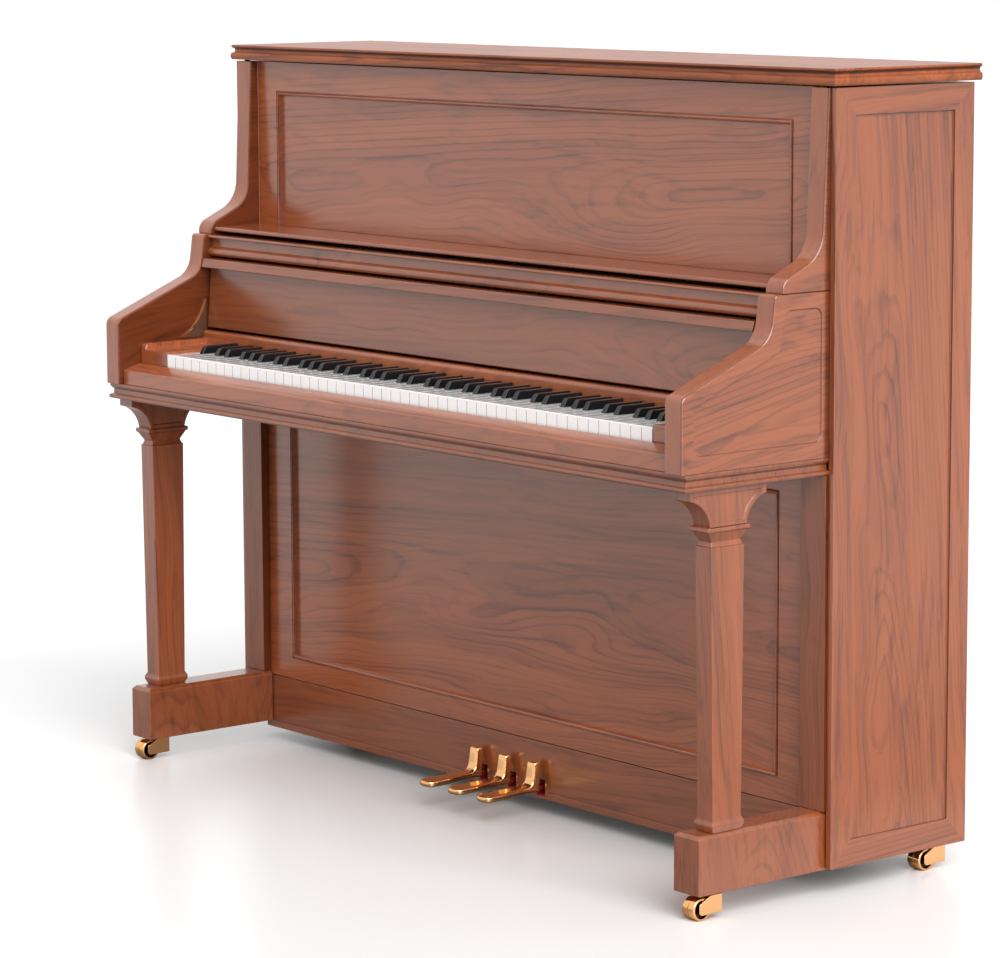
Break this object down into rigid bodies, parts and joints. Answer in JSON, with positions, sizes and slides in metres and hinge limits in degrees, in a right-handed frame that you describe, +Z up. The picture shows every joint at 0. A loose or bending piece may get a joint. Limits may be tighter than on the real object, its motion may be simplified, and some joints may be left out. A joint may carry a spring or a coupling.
{
  "type": "upright piano",
  "caption": "Upright piano with a moulded wooden case, hinged lid and fallboard, keys that press down, front legs on toe blocks, brass pedals and casters.",
  "frame": {"origin": "on the floor under the middle of the piano's bounding box", "axes": "+X along the keyboard towards the treble, -Y towards the player, +Z up"},
  "size_m": [1.486, 0.581, 1.2145],
  "materials": {
    "cabinet_wood": "satin lacquered walnut veneer",
    "inner_wood": "plain spruce and beech",
    "polished_brass": "polished",
    "dark_guard": "dark satin, brass edge",
    "plate_iron": "bronze painted casting",
    "string_steel": "bright wire",
    "action_metal": "grey paint",
    "white_key": "glossy key covering",
    "black_key": "glossy black"
  },
  "bodies": {
    "case": {"side_left": "cabinet_wood", "side_right": "cabinet_wood", "arm_left": "cabinet_wood", "arm_right": "cabinet_wood", "lower_stiles": "cabinet_wood", "toe_blocks": "cabinet_wood", "leg_left": "cabinet_wood", "leg_right": "cabinet_wood", "upper_panel": "cabinet_wood", "knee_panel": "cabinet_wood", "bottom_rail": "cabinet_wood", "key_bed_moulding": "cabinet_wood", "key_slip": "cabinet_wood", "key_surround": "cabinet_wood", "fallboard_rail": "cabinet_wood", "music_shelf": "cabinet_wood", "key_bed": "inner_wood", "key_frame": "inner_wood", "bottom_board": "inner_wood", "back_frame": "inner_wood", "pin_block": "inner_wood", "soundboard": "inner_wood", "lid_hinges": "polished_brass", "fallboard_plates": "dark_guard", "iron_plate": "plate_iron", "strings": "string_steel", "tuning_pins": "string_steel", "action_frame": "action_metal"},
    "lid": {"top_lid": "cabinet_wood", "lid_hinge_leaves": "polished_brass"},
    "fallboard": {"fallboard": "cabinet_wood"},
    "hammers": {"hammers": "inner_wood"},
    "dampers": {"dampers": "inner_wood"},
    "muffler": {"muffler_rail": "inner_wood"},
    "pedal_left": {"pedal_left": "polished_brass"},
    "pedal_stick_left": {"pedal_stick_left": "inner_wood"},
    "pedal_middle": {"pedal_middle": "polished_brass"},
    "pedal_stick_middle": {"pedal_stick_middle": "inner_wood"},
    "pedal_right": {"pedal_right": "polished_brass"},
    "pedal_stick_right": {"pedal_stick_right": "inner_wood"},
    "caster_fork_front_left": {"caster_fork_front_left": "polished_brass"},
    "caster_wheel_front_left": {"caster_wheel_front_left": "polished_brass"},
    "caster_fork_front_right": {"caster_fork_front_right": "polished_brass"},
    "caster_wheel_front_right": {"caster_wheel_front_right": "polished_brass"},
    "caster_fork_rear_left": {"caster_fork_rear_left": "polished_brass"},
    "caster_wheel_rear_left": {"caster_wheel_rear_left": "polished_brass"},
    "caster_fork_rear_right": {"caster_fork_rear_right": "polished_brass"},
    "caster_wheel_rear_right": {"caster_wheel_rear_right": "polished_brass"},
    "keys_a": {"keys_a": "white_key"},
    "keys_a_sharp": {"keys_a_sharp": "black_key"},
    "keys_b": {"keys_b": "white_key"},
    "keys_c": {"keys_c": "white_key"},
    "keys_c_sharp": {"keys_c_sharp": "black_key"},
    "keys_d": {"keys_d": "white_key"},
    "keys_d_sharp": {"keys_d_sharp": "black_key"},
    "keys_e": {"keys_e": "white_key"},
    "keys_f": {"keys_f": "white_key"},
    "keys_f_sharp": {"keys_f_sharp": "black_key"},
    "keys_g": {"keys_g": "white_key"},
    "keys_g_sharp": {"keys_g_sharp": "black_key"}
  },
  "joints": [
    {"name": "lid_swing", "type": "hinge", "parent": "case", "child": "lid", "pos_m": [0, 0.283, 1.18525], "axis": [-1, 0, 0], "range_deg": [0, 95]},
    {"name": "fallboard_swing", "type": "hinge", "parent": "case", "child": "fallboard", "pos_m": [0, -0.102, 0.745], "axis": [1, 0, 0], "range_deg": [0, 90]},
    {"name": "press_a", "type": "hinge", "parent": "case", "child": "keys_a", "pos_m": [0, -0.028, 0.684], "axis": [1, 0, 0], "range_deg": [0, 2.66], "stiffness_Nm_per_rad": 6, "springref_deg": -17.19},
    {"name": "press_a_sharp", "type": "hinge", "parent": "case", "child": "keys_a_sharp", "pos_m": [0, -0.028, 0.684], "axis": [1, 0, 0], "range_deg": [0, 2.66], "stiffness_Nm_per_rad": 6, "springref_deg": -17.19},
    {"name": "press_b", "type": "hinge", "parent": "case", "child": "keys_b", "pos_m": [0, -0.028, 0.684], "axis": [1, 0, 0], "range_deg": [0, 2.66], "stiffness_Nm_per_rad": 6, "springref_deg": -17.19},
    {"name": "press_c", "type": "hinge", "parent": "case", "child": "keys_c", "pos_m": [0, -0.028, 0.684], "axis": [1, 0, 0], "range_deg": [0, 2.66], "stiffness_Nm_per_rad": 6, "springref_deg": -17.19},
    {"name": "press_c_sharp", "type": "hinge", "parent": "case", "child": "keys_c_sharp", "pos_m": [0, -0.028, 0.684], "axis": [1, 0, 0], "range_deg": [0, 2.66], "stiffness_Nm_per_rad": 6, "springref_deg": -17.19},
    {"name": "press_d", "type": "hinge", "parent": "case", "child": "keys_d", "pos_m": [0, -0.028, 0.684], "axis": [1, 0, 0], "range_deg": [0, 2.66], "stiffness_Nm_per_rad": 6, "springref_deg": -17.19},
    {"name": "press_d_sharp", "type": "hinge", "parent": "case", "child": "keys_d_sharp", "pos_m": [0, -0.028, 0.684], "axis": [1, 0, 0], "range_deg": [0, 2.66], "stiffness_Nm_per_rad": 6, "springref_deg": -17.19},
    {"name": "press_e", "type": "hinge", "parent": "case", "child": "keys_e", "pos_m": [0, -0.028, 0.684], "axis": [1, 0, 0], "range_deg": [0, 2.66], "stiffness_Nm_per_rad": 6, "springref_deg": -17.19},
    {"name": "press_f", "type": "hinge", "parent": "case", "child": "keys_f", "pos_m": [0, -0.028, 0.684], "axis": [1, 0, 0], "range_deg": [0, 2.66], "stiffness_Nm_per_rad": 6, "springref_deg": -17.19},
    {"name": "press_f_sharp", "type": "hinge", "parent": "case", "child": "keys_f_sharp", "pos_m": [0, -0.028, 0.684], "axis": [1, 0, 0], "range_deg": [0, 2.66], "stiffness_Nm_per_rad": 6, "springref_deg": -17.19},
    {"name": "press_g", "type": "hinge", "parent": "case", "child": "keys_g", "pos_m": [0, -0.028, 0.684], "axis": [1, 0, 0], "range_deg": [0, 2.66], "stiffness_Nm_per_rad": 6, "springref_deg": -17.19},
    {"name": "press_g_sharp", "type": "hinge", "parent": "case", "child": "keys_g_sharp", "pos_m": [0, -0.028, 0.684], "axis": [1, 0, 0], "range_deg": [0, 2.66], "stiffness_Nm_per_rad": 6, "springref_deg": -17.19},
    {"name": "press_pedal_left", "type": "hinge", "parent": "case", "child": "pedal_left", "pos_m": [-0.087, 0.08, 0.046], "axis": [1, 0, 0], "range_deg": [0, 4.7], "stiffness_Nm_per_rad": 12, "springref_deg": -11.46},
    {"name": "press_pedal_middle", "type": "hinge", "parent": "case", "child": "pedal_middle", "pos_m": [-0.014, 0.08, 0.046], "axis": [1, 0, 0], "range_deg": [0, 4.7], "stiffness_Nm_per_rad": 12, "springref_deg": -11.46},
    {"name": "press_pedal_right", "type": "hinge", "parent": "case", "child": "pedal_right", "pos_m": [0.059, 0.08, 0.046], "axis": [1, 0, 0], "range_deg": [0, 4.7], "stiffness_Nm_per_rad": 12, "springref_deg": -11.46},
    {"name": "lift_stick_left", "type": "slide", "parent": "case", "child": "pedal_stick_left", "axis": [0, 0, 1], "range_m": [0, 0.005]},
    {"name": "lift_stick_middle", "type": "slide", "parent": "case", "child": "pedal_stick_middle", "axis": [0, 0, 1], "range_m": [0, 0.005]},
    {"name": "lift_stick_right", "type": "slide", "parent": "case", "child": "pedal_stick_right", "axis": [0, 0, 1], "range_m": [0, 0.005]},
    {"name": "half_blow", "type": "hinge", "parent": "case", "child": "hammers", "pos_m": [0, 0.11, 0.806], "axis": [-1, 0, 0], "range_deg": [0, 10]},
    {"name": "damper_lift", "type": "hinge", "parent": "case", "child": "dampers", "pos_m": [0, 0.126, 0.772], "axis": [1, 0, 0], "range_deg": [0, 4]},
    {"name": "muffler_drop", "type": "slide", "parent": "case", "child": "muffler", "axis": [0, 0, -1], "range_m": [0, 0.013]},
    {"name": "swivel_front_left", "type": "hinge", "parent": "case", "child": "caster_fork_front_left", "pos_m": [-0.703, -0.21, 0.045], "axis": [0, 0, 1], "continuous": true},
    {"name": "roll_front_left", "type": "hinge", "parent": "caster_fork_front_left", "child": "caster_wheel_front_left", "pos_m": [-0.703, -0.238, 0.017], "axis": [1, 0, 0], "continuous": true},
    {"name": "swivel_front_right", "type": "hinge", "parent": "case", "child": "caster_fork_front_right", "pos_m": [0.703, -0.21, 0.045], "axis": [0, 0, 1], "continuous": true},
    {"name": "roll_front_right", "type": "hinge", "parent": "caster_fork_front_right", "child": "caster_wheel_front_right", "pos_m": [0.703, -0.238, 0.017], "axis": [1, 0, 0], "continuous": true},
    {"name": "swivel_rear_left", "type": "hinge", "parent": "case", "child": "caster_fork_rear_left", "pos_m": [-0.703, 0.248, 0.045], "axis": [0, 0, 1], "continuous": true},
    {"name": "roll_rear_left", "type": "hinge", "parent": "caster_fork_rear_left", "child": "caster_wheel_rear_left", "pos_m": [-0.703, 0.22, 0.017], "axis": [1, 0, 0], "continuous": true},
    {"name": "swivel_rear_right", "type": "hinge", "parent": "case", "child": "caster_fork_rear_right", "pos_m": [0.703, 0.248, 0.045], "axis": [0, 0, 1], "continuous": true},
    {"name": "roll_rear_right", "type": "hinge", "parent": "caster_fork_rear_right", "child": "caster_wheel_rear_right", "pos_m": [0.703, 0.22, 0.017], "axis": [1, 0, 0], "continuous": true}
  ],
  "couplings": [
    {"joint": "lift_stick_left", "follows": "press_pedal_left", "m_per_rad": 0.058},
    {"joint": "lift_stick_middle", "follows": "press_pedal_middle", "m_per_rad": 0.058},
    {"joint": "lift_stick_right", "follows": "press_pedal_right", "m_per_rad": 0.058},
    {"joint": "half_blow", "follows": "press_pedal_left", "ratio": 2.1},
    {"joint": "damper_lift", "follows": "press_pedal_right", "ratio": 0.84},
    {"joint": "muffler_drop", "follows": "press_pedal_middle", "m_per_rad": 0.15}
  ]
}
